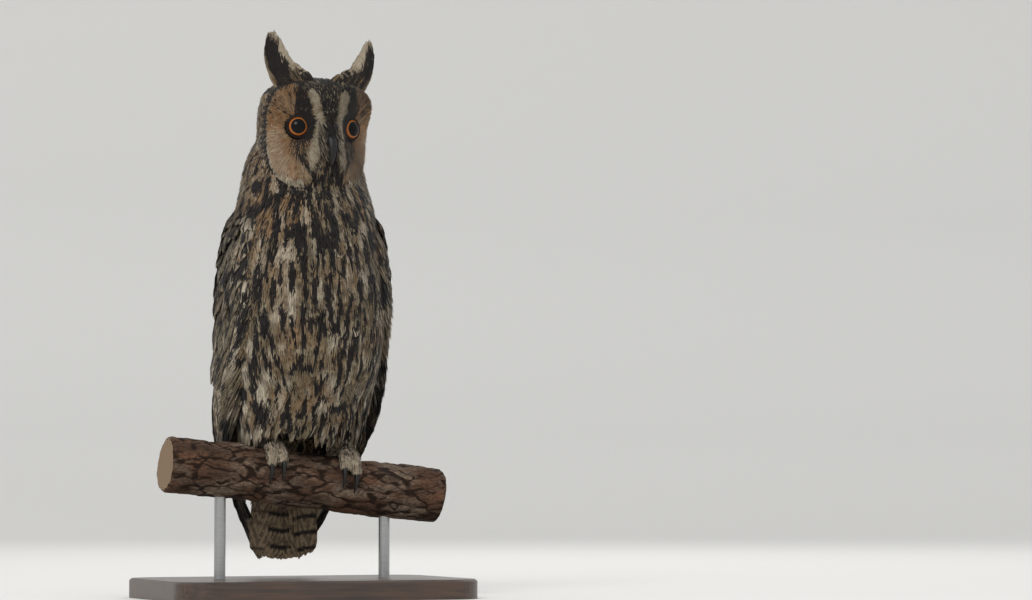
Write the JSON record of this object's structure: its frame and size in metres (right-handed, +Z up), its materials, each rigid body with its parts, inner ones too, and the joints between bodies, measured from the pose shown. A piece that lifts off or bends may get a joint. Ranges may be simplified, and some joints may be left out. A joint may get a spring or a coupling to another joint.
{
  "type": "long-eared owl, life-size display model",
  "caption": "Life-size long-eared owl standing upright with its ear tufts raised on a short cut length of branch, held by two rods over a flat base.",
  "frame": {"origin": "centre of the stand base's underside", "axes": "+Z up; the owl's body faces -Y, so its left side is at +X"},
  "size_m": [0.224, 0.15, 0.4015],
  "materials": {
    "plumage": "matt feathers, buff with black-brown streaks and fine grey mottling",
    "horn": "black horn with a soft gloss",
    "eye": "orange iris with a large black pupil under a clear wet cornea",
    "bark": "rough flaking pine bark with pale sawn ends",
    "stand_wood": "dark stained hardwood with a satin varnish",
    "stand_rod": "brushed steel"
  },
  "bodies": {
    "root": {"head": "plumage", "bill_upper": "horn", "bill_lower": "horn", "eye_left": "eye", "eye_right": "eye", "ear_tuft_left": "plumage", "ear_tuft_right": "plumage", "neck": "plumage", "torso": "plumage", "wing_left": "plumage", "wing_right": "plumage", "tail": "plumage", "leg_left": "plumage", "leg_right": "plumage", "foot_left": "plumage", "foot_right": "plumage", "claw_left_inner": "horn", "claw_left_middle": "horn", "claw_left_outer": "horn", "claw_left_hind": "horn", "claw_right_inner": "horn", "claw_right_middle": "horn", "claw_right_outer": "horn", "claw_right_hind": "horn", "perch_branch": "bark", "stand_base": "stand_wood", "stand_rod_left": "stand_rod", "stand_rod_right": "stand_rod"}
  },
  "joints": []
}
